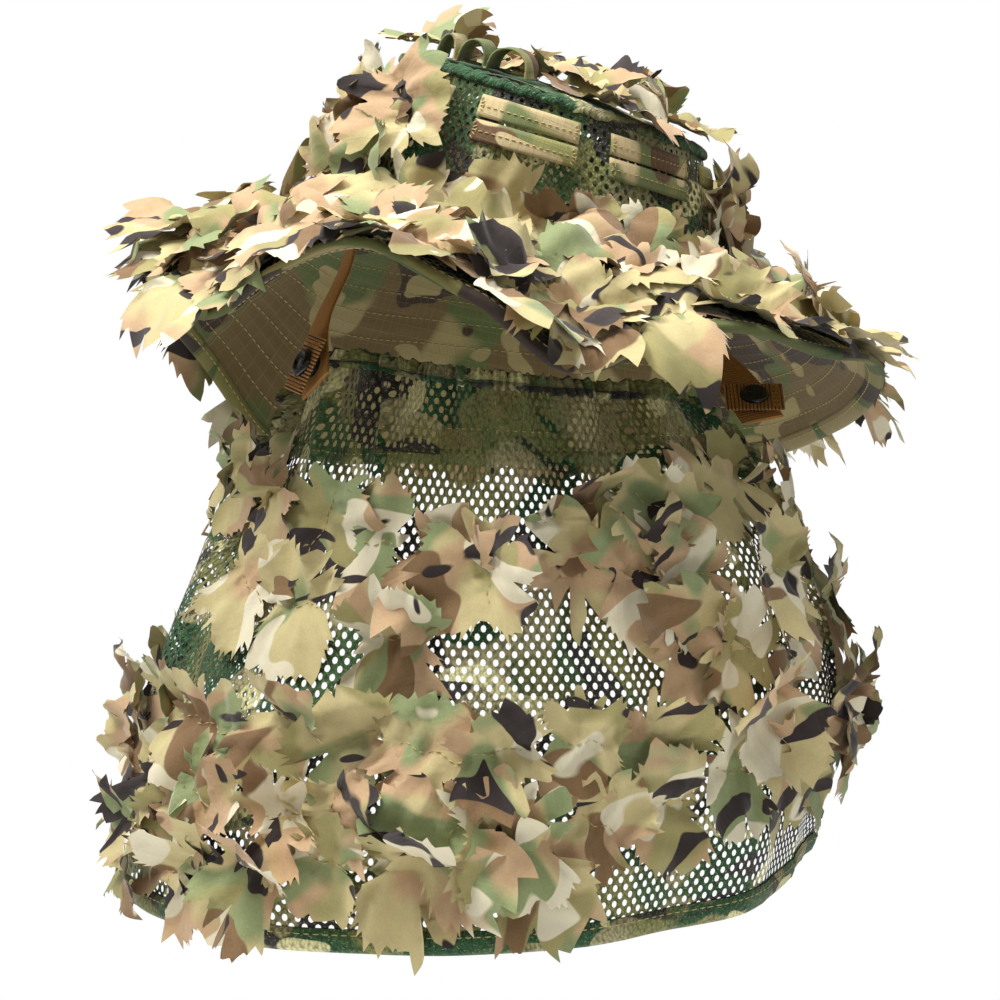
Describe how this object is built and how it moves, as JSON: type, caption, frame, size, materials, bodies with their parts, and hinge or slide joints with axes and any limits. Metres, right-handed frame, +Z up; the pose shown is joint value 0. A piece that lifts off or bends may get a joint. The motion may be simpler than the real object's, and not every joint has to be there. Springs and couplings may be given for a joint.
{
  "type": "camouflage hat with face veil",
  "caption": "Wide-brimmed bush hat with a mesh face veil on two press studs, both covered with leaf-cut camouflage cloth strips.",
  "frame": {"origin": "middle of the head opening, at the crown's lower edge, where the hat sits on the wearer's head", "axes": "+Z up, the wearer faces -Y, +X is the wearer's left; the hat is worn 12 degrees low on the wearer's left, and the veil hangs straight down"},
  "size_m": [0.3692, 0.3872, 0.4027],
  "materials": {
    "mesh": "open knitted mesh with a woodland camouflage print in dark green, olive, cream and black-brown",
    "ripstop": "ripstop cotton, camouflage print in brown, green and tan, sewn with tan thread",
    "leaf_cloth": "thin brushed polyester cut into leaf edges, camouflage print in khaki, tan, sage, cream and dark brown",
    "tape": "folded binding tape, camouflage print, one row of stitches",
    "webbing": "ribbed coyote brown webbing",
    "elastic": "elastic in a mesh casing, gathered",
    "snap_black": "gloss black enamel",
    "snap_steel": "blackened steel"
  },
  "bodies": {
    "hat": {"crown_top_panel": "mesh", "crown_side_panel_right": "mesh", "crown_side_panel_left": "mesh", "crown_seam_tape": "tape", "sweatband": "ripstop", "brim_top_mesh": "mesh", "brim_lining": "ripstop", "brim_binding": "tape", "top_loop_strip": "ripstop", "leaf_strip_brim_outer": "leaf_cloth", "leaf_strip_brim_inner": "leaf_cloth", "leaf_strip_crown": "leaf_cloth", "leaf_tuft_top": "leaf_cloth", "foliage_loop_upper_1": "ripstop", "foliage_loop_upper_2": "ripstop", "foliage_loop_upper_3": "ripstop", "foliage_loop_upper_4": "ripstop", "foliage_loop_upper_5": "ripstop", "foliage_loop_upper_6": "ripstop", "foliage_loop_upper_7": "ripstop", "foliage_loop_upper_8": "ripstop", "foliage_loop_lower_1": "ripstop", "foliage_loop_lower_2": "ripstop", "foliage_loop_lower_3": "ripstop", "foliage_loop_lower_4": "ripstop", "foliage_loop_lower_5": "ripstop", "foliage_loop_lower_6": "ripstop", "foliage_loop_lower_7": "ripstop", "foliage_loop_lower_8": "ripstop", "hat_snap_tab_right": "webbing", "snap_stud_right": "snap_steel", "snap_post_right": "snap_steel", "veil_side_panel_right": "mesh", "cheek_elastic_right": "elastic", "hem_right": "tape", "leaf_strip_right_upper": "leaf_cloth", "leaf_strip_right_lower": "leaf_cloth", "hat_snap_tab_left": "webbing", "snap_stud_left": "snap_steel", "snap_post_left": "snap_steel", "veil_side_panel_left": "mesh", "cheek_elastic_left": "elastic", "hem_left": "tape", "leaf_strip_left_upper": "leaf_cloth", "leaf_strip_left_lower": "leaf_cloth"},
    "veil_front": {"veil_front_panel": "mesh", "nose_elastic": "elastic", "hem_front": "tape", "leaf_strip_front_upper": "leaf_cloth", "leaf_strip_front_lower": "leaf_cloth"},
    "snap_tab_right": {"veil_snap_tab_right": "webbing", "snap_cap_right": "snap_black", "snap_socket_right": "snap_steel", "snap_spring_right": "snap_steel"},
    "snap_tab_left": {"veil_snap_tab_left": "webbing", "snap_cap_left": "snap_black", "snap_socket_left": "snap_steel", "snap_spring_left": "snap_steel"}
  },
  "joints": [
    {"name": "veil_pull_down", "type": "slide", "parent": "hat", "child": "veil_front", "axis": [0, 0, -1], "range_m": [0, 0.055]},
    {"name": "snap_right_peel", "type": "hinge", "parent": "hat", "child": "snap_tab_right", "pos_m": [-0.06477, -0.1213, -0.06], "axis": [0.664, -0.7233, -0.1894], "range_deg": [0, 60]},
    {"name": "snap_left_peel", "type": "hinge", "parent": "hat", "child": "snap_tab_left", "pos_m": [0.09956, -0.01796, -0.06025], "axis": [0.2472, -0.7607, -0.6001], "range_deg": [0, 60]}
  ]
}
